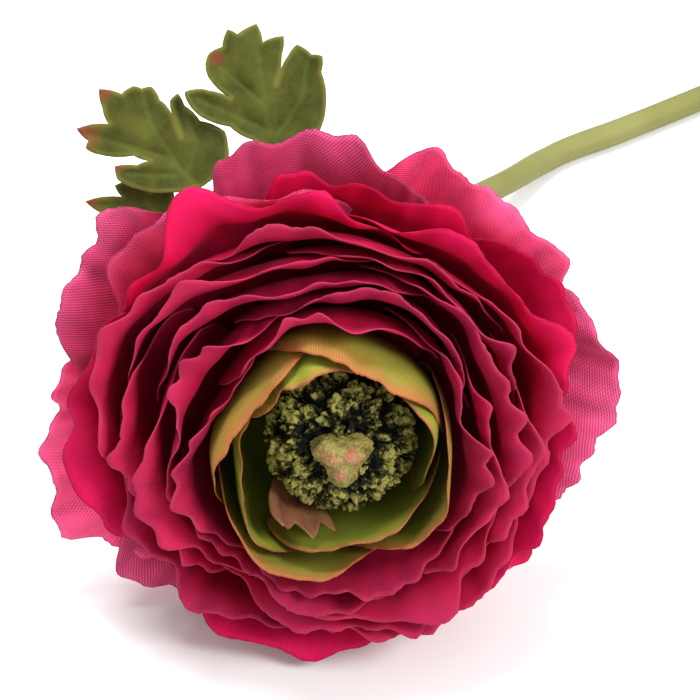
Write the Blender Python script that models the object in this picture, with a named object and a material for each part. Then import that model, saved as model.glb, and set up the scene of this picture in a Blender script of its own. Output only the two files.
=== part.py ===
"""Artificial persian buttercup (ranunculus): a woven-fabric flower head on a wired plastic stem, lying down.

Units are metres, +Z is up, and the surface it lies on is z = 0. The head rests on its lower outer petals and
faces -Y, tipped up by HEAD_TILT. The stem runs back and down from the head, then along the surface.

The head is built in its own frame: Z is the flower's axis, from the base of the calyx to the open face, X is
the flower's right and Y its upper side. Every petal is a patch of one of a set of nested cups around that axis.
"""

import math

import bmesh
import bpy
from mathutils import Euler, Matrix, Vector

MM = 0.001

# Pose of the head
HEAD_TILT = math.radians(20)
HEAD_TURN = math.radians(2)
BASE_ABOVE_FLOOR = 32.6 * MM
HEAD_FRAME = (
    Matrix.Translation((0, 0, BASE_ABOVE_FLOOR))
    @ Euler((math.pi / 2 - HEAD_TILT, 0, HEAD_TURN)).to_matrix().to_4x4()
)
UP_IN_HEAD = Vector((0, math.cos(HEAD_TILT), math.sin(HEAD_TILT)))

# Peg that the petal rings are threaded on, and what it joins
PEG_RADIUS = 2.2 * MM
PEG_BOTTOM = 1.35 * MM
SEAT_GAP = 0.3 * MM
ROUND_SIDES = 20

# Fabric petals
FABRIC = 0.3 * MM
BELLY_AT = 0.6
SPIRAL_LIFT = 0.8 * MM
OUTER_SPIRAL_LIFT = 1.1 * MM
CLAW_WIDTH = 0.42
SHOULDER_DROP = 0.26
FACES_ACROSS = 7
FACES_ALONG = 5
FLOOR_SOFTNESS = 0.35 * MM
FLOOR_CLEARANCE = FABRIC / 2
FLOOR_SPREAD = 0.45 * MM
RING_ABOVE_FLOOR = 1.2 * MM

# Each ring of petals from the outside in: name, how many petals, half of one petal's spread and the angle of
# the first petal in degrees; then, in millimetres, the height of its seat on the peg, and the radius and
# height of the cup at its belly and at its rim.
PETAL_RINGS = (
    ("outer_petal", 7, 35, -4, 3.4, (29.0, 7.0), (47.5, 18.0)),
    ("flared_petal", 6, 42, 16, 5.2, (30.5, 12.0), (43.0, 26.5)),
    ("bowl_petal", 5, 50, 40, 7.4, (32.0, 16.5), (38.6, 32.0)),
    ("fold_petal", 5, 52, 8, 9.6, (31.0, 20.0), (34.4, 36.0)),
    ("wrap_petal", 5, 52, 50, 11.8, (28.8, 22.0), (30.9, 37.5)),
    ("cup_petal", 4, 60, 20, 14.0, (26.4, 23.8), (27.8, 39.8)),
    ("hood_petal", 4, 60, 68, 16.2, (24.0, 25.4), (25.0, 41.2)),
    ("inner_petal", 4, 60, 5, 18.4, (21.6, 27.0), (22.4, 42.2)),
    ("green_cup_petal", 4, 60, 62, 20.6, (19.2, 28.4), (18.6, 46.0)),
    ("green_heart_petal", 4, 58, 22, 22.8, (16.8, 29.8), (15.6, 45.0)),
)
# The outermost petals are splayed by hand: angle in degrees and reach against the ring's own.
OUTER_SPLAY = ((-4, 1.0), (48, 0.95), (97, 1.0), (148, 1.01), (197, 1.03), (240, 1.0), (292, 1.0))

# Centre of the flower
BALL_CENTRE = 34.5 * MM
BALL_RADIUS = 12.4 * MM
BALL_HALF_HEIGHT = 8.8 * MM
PISTIL_RADIUS = 3.4 * MM
PISTIL_LOBE_OFFSET = 2.2 * MM
PISTIL_HEIGHT = 2.4 * MM
BRACT_ANGLE = math.radians(-118)

# Calyx
CALYX_RADIUS = 8.5 * MM
CALYX_TOP = 2.0 * MM
CALYX_BOTTOM = -7.0 * MM
CALYX_WALL = 1.2 * MM
SEPALS = 5

# Stem
STEM_RADIUS = 2.6 * MM
BORE_RADIUS = 1.1 * MM
WIRE_RADIUS = 0.8 * MM
STEM_SIDES = 12
WIRE_SIDES = 8
STEM_STEPS = 36
# Route of the stem's middle line after it leaves the calyx, from the head back to the cut end.
STEM_ROUTE = (
    (8.0, 40.0, 20.6),
    (20.0, 62.0, 13.4),
    (36.0, 83.0, 6.4),
    (46.4, 96.4, 2.6),
    (62.0, 106.0, 2.6),
    (80.0, 117.4, 2.6),
    (103.0, 133.0, 2.6),
    (124.0, 156.0, 2.6),
    (139.0, 183.0, 2.6),
    (148.0, 208.0, 2.6),
)

# Leaves, which share one slant: they lie back from the head
LEAF_SLANT = math.radians(48)
LEAF_THICKNESS = 0.4 * MM
LEAF_CUP = 0.012
STALK_RADIUS = 0.9 * MM
STALK_SIDES = 8
STALK_ROUTE = ((5.0, 32.6, 26.5), (-3.0, 36.0, 33.0), (-12.0, 36.0, 40.0), (-18.0, 33.5, 42.6), (-22.7, 31.4, 44.4))
RIGHT_BRANCH = ((-3.0, 36.0, 33.0), (-5.5, 36.2, 41.0), (-8.4, 35.6, 49.4))
LOW_BRANCH = ((-12.0, 36.0, 40.0), (-19.0, 34.0, 40.5), (-26.9, 31.4, 38.3))

# Outlines in millimetres from the leaf's own base, to the right and up the blade.
RIGHT_LEAF = (
    (0.8, -0.4), (7.0, 3.7), (8.2, 8.7), (7.3, 14.5), (7.5, 17.3), (5.5, 17.7), (2.9, 19.6), (1.5, 17.8),
    (-0.9, 12.3), (0.2, 17.6), (0.5, 21.0), (-3.3, 19.9), (-4.4, 23.2), (-7.8, 21.2), (-9.5, 22.0),
    (-10.5, 18.9), (-12.8, 17.7), (-13.5, 15.7), (-13.0, 13.4), (-9.1, 9.8), (-12.8, 11.0), (-15.2, 11.3),
    (-17.1, 10.7), (-16.7, 9.1), (-14.4, 6.4), (-9.1, 4.6), (-5.1, 2.3), (-0.8, -0.4),
)
LEFT_LEAF = (
    (1.0, -3.0), (5.4, 1.4), (5.3, 4.6), (4.7, 6.9), (0.2, 8.8), (-2.6, 11.6), (-3.7, 13.7), (-5.1, 12.4),
    (-4.7, 10.0), (-3.2, 5.8), (-5.9, 11.6), (-6.9, 12.4), (-8.4, 14.9), (-10.2, 14.5), (-11.6, 14.9),
    (-13.7, 13.4), (-17.6, 14.1), (-17.0, 10.8), (-16.0, 8.0), (-21.5, 6.9), (-19.4, 4.8), (-19.8, 3.4),
    (-18.2, 2.5), (-11.6, 2.4), (-8.8, 1.4), (-11.0, 0.6), (-14.9, 0.4), (-14.4, -2.0), (-10.5, -3.8),
    (-5.3, -4.2), (-1.0, -3.6),
)
LOW_LEAF = (
    (0.0, -0.8), (0.0, 0.8), (-0.4, 3.4), (-0.9, 5.6), (-3.6, 6.4), (-4.8, 4.8), (-7.4, 7.2), (-11.2, 6.0), (-10.0, 4.0),
    (-16.4, 3.0), (-13.2, 0.8), (-14.0, -1.6), (-9.0, -2.2), (-9.6, -4.6), (-5.0, -4.6), (-2.4, -2.8),
)

COLOURS = {
    "magenta_fabric": ((0.42, 0.012, 0.06), 0.6),
    "green_fabric": ((0.28, 0.26, 0.04), 0.6),
    "leaf_fabric": ((0.12, 0.16, 0.035), 0.7),
    "bract_fabric": ((0.16, 0.05, 0.015), 0.7),
    "stem_plastic": ((0.34, 0.36, 0.12), 0.5),
    "wire_steel": ((0.5, 0.5, 0.5), 0.35),
    "flocked_foam": ((0.07, 0.075, 0.02), 0.95),
}


def material(name):
    colour, roughness = COLOURS[name]
    made = bpy.data.materials.get(name) or bpy.data.materials.new(name)
    made.use_nodes = True
    shader = made.node_tree.nodes["Principled BSDF"]
    shader.inputs["Base Color"].default_value = (*colour, 1)
    shader.inputs["Roughness"].default_value = roughness
    shader.inputs["Metallic"].default_value = 1.0 if name == "wire_steel" else 0.0
    return made


def add_object(name, bm, finish, parent):
    """Turns the bmesh into a smooth-shaded object under the parent."""
    bmesh.ops.recalc_face_normals(bm, faces=bm.faces)
    mesh = bpy.data.meshes.new(name)
    bm.to_mesh(mesh)
    bm.free()
    mesh.shade_smooth()
    mesh.set_sharp_from_angle(angle=math.radians(40))
    mesh.materials.append(material(finish))
    made = bpy.data.objects.new(name, mesh)
    bpy.context.scene.collection.objects.link(made)
    made.parent = parent
    return made


def add_thickness(made, thickness):
    shell = made.modifiers.new("Thickness", "SOLIDIFY")
    shell.thickness = thickness
    shell.offset = 0


def parabola(start, middle, end, share):
    """The parabola through start at 0, middle at BELLY_AT and end at 1, and its slope."""
    bend = ((middle - start) / BELLY_AT - (end - start)) / (BELLY_AT - 1)
    rise = end - start - bend
    return start + rise * share + bend * share**2, rise + 2 * bend * share


def smooth_step(value):
    value = min(max(value, 0), 1)
    return value * value * (3 - 2 * value)


def above_floor(point, level):
    """Lifts a point of the head that would sink below this height over the floor, with a soft turn."""
    height = BASE_ABOVE_FLOOR + point.dot(UP_IN_HEAD)
    over = (height - level) / FLOOR_SOFTNESS
    if over > 30:
        return point
    lifted = level + FLOOR_SOFTNESS * math.log1p(math.exp(over))
    return point + UP_IN_HEAD * (lifted - height)


def petal_point(ring_number, angle, reach, across, along):
    """A point of a petal's middle surface: across is -1 to 1 over its spread, along is 0 at the claw to 1."""
    _, _, half_spread, _, seat, belly, rim = PETAL_RINGS[ring_number]
    width = CLAW_WIDTH + (1 - CLAW_WIDTH) * math.sin(math.pi / 2 * min(along / BELLY_AT, 1))
    share = along * reach * (1 - SHOULDER_DROP * abs(across) ** 3)
    radius, radius_slope = parabola(PEG_RADIUS / MM + 0.5, belly[0], rim[0], share)
    height, height_slope = parabola(seat, belly[1], rim[1], share)
    slope_length = math.hypot(radius_slope, height_slope)
    spiral_lift = SPIRAL_LIFT if ring_number else OUTER_SPIRAL_LIFT
    lift = spiral_lift / MM * across * smooth_step(share / 0.35)
    radius += lift * height_slope / slope_length
    height -= lift * radius_slope / slope_length
    turn = math.radians(angle + across * half_spread * width)
    point = Vector((radius * math.cos(turn), radius * math.sin(turn), height)) * MM
    level = FLOOR_CLEARANCE + FLOOR_SPREAD * (1 - across) + ring_number * RING_ABOVE_FLOOR
    return above_floor(point, level)


def add_petal(name, ring_number, angle, reach, parent):
    bm = bmesh.new()
    bmesh.ops.create_grid(bm, x_segments=FACES_ACROSS, y_segments=FACES_ALONG, size=1)
    for vertex in bm.verts:
        vertex.co = petal_point(ring_number, angle, reach, vertex.co.x, (vertex.co.y + 1) / 2)
    finish = "green_fabric" if name.startswith("green") else "magenta_fabric"
    made = add_object(name, bm, finish, parent)
    add_thickness(made, FABRIC)


def add_petals(parent):
    for ring_number, (name, count, _, first, _, _, _) in enumerate(PETAL_RINGS):
        for number in range(count):
            angle, reach = first + 360 / count * number, 1.0
            if ring_number == 0:
                angle, reach = OUTER_SPLAY[number]
            add_petal(f"{name}_{number + 1}", ring_number, angle, reach, parent)


def turned(name, profile, finish, parent, sides=ROUND_SIDES):
    """Spins a profile of (radius, height) points, whose ends lie on the axis or meet, round the local Z."""
    bm = bmesh.new()
    loops = []
    for radius, height in profile:
        loop = []
        for side in range(sides if radius > 0 else 1):
            turn = 2 * math.pi * side / sides
            loop.append(bm.verts.new((radius * math.cos(turn), radius * math.sin(turn), height)))
        loops.append(loop)
    for lower, upper in zip(loops, loops[1:]):
        for side in range(sides):
            after = (side + 1) % sides
            corners = [lower[side % len(lower)], lower[after % len(lower)], upper[after % len(upper)], upper[side % len(upper)]]
            bm.faces.new(list(dict.fromkeys(corners)))
    return add_object(name, bm, finish, parent)


def add_peg(parent):
    top = BALL_CENTRE - BALL_HALF_HEIGHT - SEAT_GAP
    profile = (
        (0, PEG_BOTTOM),
        (PEG_RADIUS, PEG_BOTTOM),
        (PEG_RADIUS, top),
        (0, top),
    )
    turned("petal_peg", profile, "stem_plastic", parent)


def add_calyx(parent):
    """A moulded cap with a socket for the stem below and short sepals round its lip."""
    bore = STEM_RADIUS + SEAT_GAP
    socket_top = -SEAT_GAP
    profile = (
        (0, CALYX_TOP - CALYX_WALL),
        (CALYX_RADIUS * 0.62, CALYX_TOP - CALYX_WALL * 0.7),
        (CALYX_RADIUS, CALYX_TOP),
        (CALYX_RADIUS * 0.98, CALYX_TOP - CALYX_WALL),
        (CALYX_RADIUS * 0.72, CALYX_TOP - 2.8 * CALYX_WALL),
        (bore + CALYX_WALL, CALYX_BOTTOM * 0.7),
        (bore + CALYX_WALL * 0.7, CALYX_BOTTOM),
        (bore, CALYX_BOTTOM),
        (bore, socket_top),
        (0, socket_top),
    )
    calyx = turned("calyx", profile, "stem_plastic", parent)
    for vertex in calyx.data.vertices:
        radius = math.hypot(vertex.co.x, vertex.co.y)
        if radius > CALYX_RADIUS * 0.9:
            turn = math.atan2(vertex.co.y, vertex.co.x)
            spread = 1 + 0.22 * math.cos(SEPALS * turn)
            vertex.co.x *= spread
            vertex.co.y *= spread


def add_ball(parent):
    steps = 9
    profile = []
    for step in range(steps + 1):
        turn = math.pi * step / steps
        radius = BALL_RADIUS * math.sin(turn)
        profile.append((radius if 0 < step < steps else 0, BALL_CENTRE - BALL_HALF_HEIGHT * math.cos(turn)))
    turned("stamen_ball", profile, "flocked_foam", parent)


def add_pistil(parent):
    """Three low rounded lobes, joined in the middle, on the top of the stamen ball."""
    bottom = BALL_CENTRE + BALL_HALF_HEIGHT + SEAT_GAP
    outline = []
    sides = 18
    for side in range(sides):
        turn = 2 * math.pi * side / sides
        radius = PISTIL_RADIUS + 0.45 * PISTIL_LOBE_OFFSET * math.cos(3 * (turn - math.radians(30)))
        outline.append((radius, turn))
    bm = bmesh.new()
    loops = []
    for scale, height in ((0.75, 0), (1.0, 0.35 * PISTIL_HEIGHT), (0.85, 0.8 * PISTIL_HEIGHT), (0.45, PISTIL_HEIGHT)):
        loop = []
        for radius, turn in outline:
            place = (scale * radius * math.cos(turn), scale * radius * math.sin(turn), bottom + height)
            loop.append(bm.verts.new(place))
        loops.append(loop)
    for lower, upper in zip(loops, loops[1:]):
        for side in range(sides):
            after = (side + 1) % sides
            bm.faces.new((lower[side], lower[after], upper[after], upper[side]))
    bm.faces.new(reversed(loops[0]))
    bm.faces.new(loops[-1])
    add_object("pistil", bm, "flocked_foam", parent)


def add_bract(parent):
    """The little toothed tongue between the stamen ball and the green petals."""
    outline = ((-2.6, 0.0), (2.6, 0.0), (4.3, 6.0), (4.6, 10.0), (3.0, 8.6), (1.2, 11.4), (-0.6, 8.8), (-3.4, 11.2), (-4.4, 6.0))
    cup_radius = 14.2
    bm = bmesh.new()
    corners = []
    for sideways, up in outline:
        turn = BRACT_ANGLE + sideways / cup_radius
        radius = (cup_radius - 0.010 * (up - 6) ** 2) * MM
        height = 27.5 * MM + up * MM
        corners.append(bm.verts.new((radius * math.cos(turn), radius * math.sin(turn), height)))
    bmesh.ops.triangle_fill(bm, edges=[bm.edges.new(pair) for pair in zip(corners, corners[1:] + corners[:1])])
    made = add_object("toothed_bract", bm, "bract_fabric", parent)
    add_thickness(made, FABRIC)


def curve_points(points, steps):
    """Evenly counted points on a smooth (Catmull-Rom) curve through the given points."""
    ends = [2 * points[0] - points[1], *points, 2 * points[-1] - points[-2]]
    found = []
    for step in range(steps + 1):
        place = (len(points) - 1) * step / steps
        span = min(int(place), len(points) - 2)
        t = place - span
        a, b, c, d = ends[span : span + 4]
        found.append(
            0.5 * ((2 * b) + (c - a) * t + (2 * a - 5 * b + 4 * c - d) * t**2 + (3 * b - a - 3 * c + d) * t**3)
        )
    return found


def tube_loops(bm, line, radius, sides):
    """Rings of vertices square to the line, each ring turned as little as it can be from the last."""
    side_way = Vector((1, 0, 0))
    loops = []
    for number, middle in enumerate(line):
        ahead = (line[min(number + 1, len(line) - 1)] - line[max(number - 1, 0)]).normalized()
        side_way = (side_way - ahead * side_way.dot(ahead)).normalized()
        over = ahead.cross(side_way)
        loop = []
        for side in range(sides):
            turn = 2 * math.pi * side / sides
            loop.append(bm.verts.new(middle + radius * (side_way * math.cos(turn) + over * math.sin(turn))))
        loops.append(loop)
    return loops


def join_loops(bm, first, second):
    count = len(first)
    for side in range(count):
        after = (side + 1) % count
        bm.faces.new((first[side], first[after], second[after], second[side]))


def stem_line():
    straight = [-2 * SEAT_GAP, CALYX_BOTTOM, 2 * CALYX_BOTTOM]
    route = [HEAD_FRAME @ Vector((0, 0, height)) for height in straight]
    route += [Vector(point) * MM for point in STEM_ROUTE]
    line = curve_points(route, STEM_STEPS)
    for point in line:
        point.z = max(point.z, STEM_RADIUS)
    return line


def add_stem(parent):
    """The moulded stem is a tube, open at both ends, and a steel wire runs all through it."""
    line = stem_line()
    bm = bmesh.new()
    outside = tube_loops(bm, line, STEM_RADIUS, STEM_SIDES)
    inside = tube_loops(bm, line, BORE_RADIUS, STEM_SIDES)
    for number in range(len(line) - 1):
        join_loops(bm, outside[number], outside[number + 1])
        join_loops(bm, inside[number + 1], inside[number])
    join_loops(bm, inside[0], outside[0])
    join_loops(bm, outside[-1], inside[-1])
    add_object("stem", bm, "stem_plastic", parent)

    bm = bmesh.new()
    loops = tube_loops(bm, line, WIRE_RADIUS, WIRE_SIDES)
    for first, second in zip(loops, loops[1:]):
        join_loops(bm, first, second)
    bm.faces.new(reversed(loops[0]))
    bm.faces.new(loops[-1])
    add_object("stem_wire", bm, "wire_steel", parent)


def add_solid_tube(name, route, radius, parent):
    bm = bmesh.new()
    line = curve_points([Vector(point) * MM for point in route], 3 * (len(route) - 1))
    loops = tube_loops(bm, line, radius, STALK_SIDES)
    for first, second in zip(loops, loops[1:]):
        join_loops(bm, first, second)
    bm.faces.new(reversed(loops[0]))
    bm.faces.new(loops[-1])
    return add_object(name, bm, "stem_plastic", parent)


def add_stalk(parent):
    """One moulded twig with a branch for each leaf."""
    stalk = add_solid_tube("leaf_stalk", STALK_ROUTE, STALK_RADIUS, parent)
    for name, route in (("right_branch", RIGHT_BRANCH), ("low_branch", LOW_BRANCH)):
        branch = add_solid_tube(name, route, STALK_RADIUS * 0.96, parent)
        branch.hide_render = True
        branch.display_type = "WIRE"
        join = stalk.modifiers.new(name, "BOOLEAN")
        join.operation = "UNION"
        join.object = branch


def add_leaf(name, outline, base, parent):
    """A flat toothed blade, slightly cupped, whose own up runs LEAF_SLANT above level and away from the head."""
    up = Vector((0, math.cos(LEAF_SLANT), math.sin(LEAF_SLANT)))
    front = Vector((0, -math.sin(LEAF_SLANT), math.cos(LEAF_SLANT)))
    bm = bmesh.new()
    corners = []
    for right, along in outline:
        lift = LEAF_CUP * (right * right + 0.4 * (along - 8) ** 2)
        corners.append(bm.verts.new(base * MM + (Vector((right, 0, 0)) + up * along + front * lift) * MM))
    bmesh.ops.triangle_fill(bm, edges=[bm.edges.new(pair) for pair in zip(corners, corners[1:] + corners[:1])])
    made = add_object(name, bm, "leaf_fabric", parent)
    add_thickness(made, LEAF_THICKNESS)


def rest_on_floor(place):
    """Moves everything so that the origin is under the middle of the whole flower, on the floor."""
    bpy.context.view_layer.update()
    graph = bpy.context.evaluated_depsgraph_get()
    corners = []
    for made in bpy.context.scene.objects:
        if made.type == "MESH" and not made.hide_render:
            solid = made.evaluated_get(graph)
            corners += [solid.matrix_world @ vertex.co for vertex in solid.data.vertices]
    low = Vector(min(corner[axis] for corner in corners) for axis in range(3))
    high = Vector(max(corner[axis] for corner in corners) for axis in range(3))
    place.location = (-(low.x + high.x) / 2, -(low.y + high.y) / 2, -low.z)


def add_empty(name, parent=None):
    made = bpy.data.objects.new(name, None)
    bpy.context.scene.collection.objects.link(made)
    made.parent = parent
    return made


def main():
    for made in list(bpy.data.objects):
        bpy.data.objects.remove(made, do_unlink=True)
    place = add_empty("resting_place")
    head = add_empty("head_frame", place)
    head.matrix_local = HEAD_FRAME
    add_petals(head)
    add_peg(head)
    add_calyx(head)
    add_ball(head)
    add_pistil(head)
    add_bract(head)
    add_stem(place)
    add_stalk(place)
    add_leaf("leaf_right", RIGHT_LEAF, Vector((-8.5, 36.0, 50.4)), place)
    add_leaf("leaf_left", LEFT_LEAF, Vector((-23.4, 34.2, 48.0)), place)
    add_leaf("leaf_low", LOW_LEAF, Vector((-27.6, 31.6, 38.6)), place)
    rest_on_floor(place)


main()
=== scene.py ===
"""Looks of the artificial persian buttercup: ruffled woven petals, flocked centre, leaves and moulded stem.

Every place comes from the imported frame: the stamen ball gives the head's own frame, whose Z is the flower's
axis, X its right and Y its upper side. Sizes are in metres unless a name ends in _MM or a comment says
millimetres.
"""

import math
import random

import bmesh
import bpy
import numpy as np
from mathutils import Euler, Matrix, Vector, noise
from mathutils.geometry import delaunay_2d_cdt


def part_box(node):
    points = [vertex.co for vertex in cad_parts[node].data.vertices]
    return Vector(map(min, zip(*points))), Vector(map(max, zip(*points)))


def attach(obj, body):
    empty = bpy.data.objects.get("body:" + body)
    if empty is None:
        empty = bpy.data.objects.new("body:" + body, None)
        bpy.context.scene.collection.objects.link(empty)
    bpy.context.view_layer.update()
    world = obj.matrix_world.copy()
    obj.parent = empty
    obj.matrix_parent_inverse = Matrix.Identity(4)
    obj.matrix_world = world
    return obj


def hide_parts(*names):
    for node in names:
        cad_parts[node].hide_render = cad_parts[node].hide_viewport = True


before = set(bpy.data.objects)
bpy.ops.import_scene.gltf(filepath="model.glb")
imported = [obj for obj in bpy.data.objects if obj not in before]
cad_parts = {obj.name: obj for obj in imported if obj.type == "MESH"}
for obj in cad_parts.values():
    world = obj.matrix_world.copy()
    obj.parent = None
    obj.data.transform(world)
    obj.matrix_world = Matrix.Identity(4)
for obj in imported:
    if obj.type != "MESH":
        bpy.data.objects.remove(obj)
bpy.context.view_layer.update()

MM = 0.001

# Head frame, as the model was built
HEAD_TILT = math.radians(20)
HEAD_TURN = math.radians(2)
BALL_CENTRE_MM = 34.5
BASE_ABOVE_FLOOR = 32.6 * MM


def box_middle(node):
    low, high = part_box(node)
    return (Vector(low) + Vector(high)) / 2


HEAD_TURNING = Euler((math.pi / 2 - HEAD_TILT, 0, HEAD_TURN)).to_matrix()
HEAD_AXIS = HEAD_TURNING @ Vector((0, 0, 1))
HEAD_BASE = box_middle("stamen_ball") - HEAD_AXIS * BALL_CENTRE_MM * MM
HEAD_FRAME = Matrix.Translation(HEAD_BASE) @ HEAD_TURNING.to_4x4()
UP_IN_HEAD = np.array((0, math.cos(HEAD_TILT), math.sin(HEAD_TILT)))
PLACE = HEAD_BASE - Vector((0, 0, BASE_ABOVE_FLOOR))

# Nested cups that the petals are patches of, as in the CAD model: name, petals, half spread and first angle
# in degrees, then in millimetres the seat's height, and radius and height at the belly and at the rim.
PETAL_RINGS = (
    ("outer_petal", 7, 35, -4, 3.4, (29.0, 7.0), (47.5, 18.0)),
    ("flared_petal", 6, 42, 16, 5.2, (30.5, 12.0), (43.0, 26.5)),
    ("bowl_petal", 5, 50, 40, 7.4, (32.0, 16.5), (38.6, 32.0)),
    ("fold_petal", 5, 52, 8, 9.6, (31.0, 20.0), (34.4, 36.0)),
    ("wrap_petal", 5, 52, 50, 11.8, (28.8, 22.0), (30.9, 37.5)),
    ("cup_petal", 4, 60, 20, 14.0, (26.4, 23.8), (27.8, 39.8)),
    ("hood_petal", 4, 60, 68, 16.2, (24.0, 25.4), (25.0, 41.2)),
    ("inner_petal", 4, 60, 5, 18.4, (21.6, 27.0), (22.4, 42.2)),
    ("green_cup_petal", 4, 60, 62, 20.6, (19.2, 28.4), (18.6, 46.0)),
    ("green_heart_petal", 4, 58, 22, 22.8, (16.8, 29.8), (15.6, 45.0)),
)
# Angle in degrees and reach of each outer petal
OUTER_SPLAY = ((-4, 1.0), (48, 0.95), (97, 1.0), (148, 1.01), (197, 1.03), (240, 1.0), (292, 1.0))
PEG_RADIUS_MM = 2.2
CLAW_GAP_MM = 0.5
BELLY_AT = 0.6
SPIRAL_LIFT_MM = 0.8
OUTER_SPIRAL_LIFT_MM = 1.1
CLAW_WIDTH = 0.42
SHOULDER_DROP = 0.26
FABRIC = 0.2 * MM

# How each ring's cloth behaves: height of its slow and its short ruffles in millimetres, how far its rim
# rolls back in degrees, the share of its length that the cut edge's lobes and nicks take, and the finish.
RING_STYLES = (
    (2.8, 0.7, 22, 0.030, 0.008, "petal_outer"),
    (2.8, 1.0, 42, 0.030, 0.007, "petal_flared"),
    (1.2, 0.7, 55, 0.026, 0.008, "petal_flared"),
    (0.5, 0.45, 62, 0.020, 0.010, "petal_inner"),
    (0.45, 0.4, 58, 0.020, 0.011, "petal_inner"),
    (0.4, 0.4, 60, 0.020, 0.011, "petal_inner"),
    (0.35, 0.35, 58, 0.018, 0.011, "petal_inner"),
    (0.3, 0.3, 55, 0.016, 0.010, "petal_inner"),
    (0.3, 0.15, 6, 0.010, 0.004, "green_cup"),
    (0.4, 0.2, 6, 0.014, 0.005, "green_heart"),
)
ROLL_FROM = 0.86
LEAST_ROLL = 3
FRAY_DEPTH = 0.0016
# How far the flared petals reach, shorter where the outer ones show behind them
FLARED_REACH = (0.88, 0.84, 0.94, 0.88, 0.93, 0.92)
# The cups bunch and part round the head: waves round it, how they drift from ring to ring, and height in mm
BUNCHING = ((2, 0.4, 0.6, 1.1), (3, 2.1, -0.7, 1.0), (5, 4.0, 0.9, 0.6))
# Rings leaned inwards on one side of the head: millimetres, and the direction in degrees
LEANED_IN = {
    2: (3.2, 20),
    3: (2.4, 20),
    4: (1.4, 20),
    5: (1.6, 112),
    6: (2.8, 112),
    7: (4.0, 112),
    8: (4.0, 88),
    9: (1.8, 88),
}
# Petals whose rims roll back further than their ring's, in degrees
ROLLED_BACK = {
    "bowl_petal_2": 45,
    "bowl_petal_3": 35,
    "flared_petal_4": 15,
    "fold_petal_1": 20,
    "cup_petal_1": 20,
}
# The top outer petal is shorter than its solid, two petals are turned from theirs, in degrees, and a flared
# petal is of the lighter cloth.
TURNED = {"outer_petal_3": -6, "flared_petal_3": -12}
LIGHTER = ("flared_petal_3",)
SHORTER = {"outer_petal_3": 0.93}
POINTS_ACROSS = 77
POINTS_ALONG = 39
# How the petals that touch the floor are pressed, in millimetres
FLOOR_GAP_MM = 0.12
RING_ABOVE_RING_MM = 1.2
PRESS_SOFTNESS_MM = 0.35


# ---------------------------------------------------------------- materials


class Nodes:
    """Small helper that builds one material's node tree."""

    def __init__(self, name):
        self.material = bpy.data.materials.new(name)
        self.material.use_nodes = True
        self.tree = self.material.node_tree
        self.shader = self.tree.nodes["Principled BSDF"]
        self.output = self.tree.nodes["Material Output"]

    def add(self, kind, **settings):
        node = self.tree.nodes.new(kind)
        for key, value in settings.items():
            setattr(node, key, value)
        return node

    def link(self, source, target):
        self.tree.links.new(source, target)

    def feed(self, socket, value):
        if hasattr(value, "node"):
            self.link(value, socket)
        else:
            socket.default_value = value

    def math(self, operation, first, second=0.5):
        node = self.add("ShaderNodeMath", operation=operation)
        for socket, value in zip(node.inputs, (first, second)):
            self.feed(socket, value)
        return node.outputs[0]

    def attribute(self, name):
        return self.add("ShaderNodeAttribute", attribute_name=name).outputs["Fac"]

    def noise(self, scale, detail=3.0, roughness=0.5, vector=None):
        node = self.add("ShaderNodeTexNoise")
        node.inputs["Scale"].default_value = scale
        node.inputs["Detail"].default_value = detail
        node.inputs["Roughness"].default_value = roughness
        coordinates = vector or self.add("ShaderNodeTexCoord").outputs["Object"]
        self.link(coordinates, node.inputs["Vector"])
        return node.outputs["Fac"]

    def ramp(self, value, *stops):
        node = self.add("ShaderNodeValToRGB")
        self.feed(node.inputs["Fac"], value)
        elements = node.color_ramp.elements
        while len(elements) < len(stops):
            elements.new(0.5)
        for element, (place, colour) in zip(elements, stops):
            element.position = place
            element.color = (*colour, 1)
        return node.outputs["Color"]

    def mix(self, share, first, second, blend="MIX"):
        node = self.add("ShaderNodeMix", data_type="RGBA", blend_type=blend)
        self.feed(node.inputs["Factor"], share)
        for socket, value in zip((node.inputs[6], node.inputs[7]), (first, second)):
            self.feed(socket, value if hasattr(value, "node") else (*value, 1))
        return node.outputs[2]

    def darken(self, colour, shade):
        """The colour multiplied by a grey shade."""
        grey = self.add("ShaderNodeCombineColor")
        for socket in grey.inputs:
            self.link(shade, socket)
        return self.mix(1.0, colour, grey.outputs[0], "MULTIPLY")

    def bump(self, height, distance, strength=1.0, normal=None):
        node = self.add("ShaderNodeBump")
        node.inputs["Strength"].default_value = strength
        node.inputs["Distance"].default_value = distance
        self.link(height, node.inputs["Height"])
        if normal:
            self.link(normal, node.inputs["Normal"])
        return node.outputs["Normal"]


def span(nodes, value, low, high):
    """0 below low, 1 above high, straight between."""
    node = nodes.add("ShaderNodeMapRange")
    nodes.feed(node.inputs["Value"], value)
    node.inputs["From Min"].default_value = low
    node.inputs["From Max"].default_value = high
    return node.outputs["Result"]


RIB_SLANT = 0.6
RIB_HEIGHT = 0.33
WEFT_HEIGHT = 0.15
PINK_GLINT = (1.0, 0.3, 0.5, 1)
YELLOW_GLINT = (1.0, 0.95, 0.5, 1)


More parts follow.
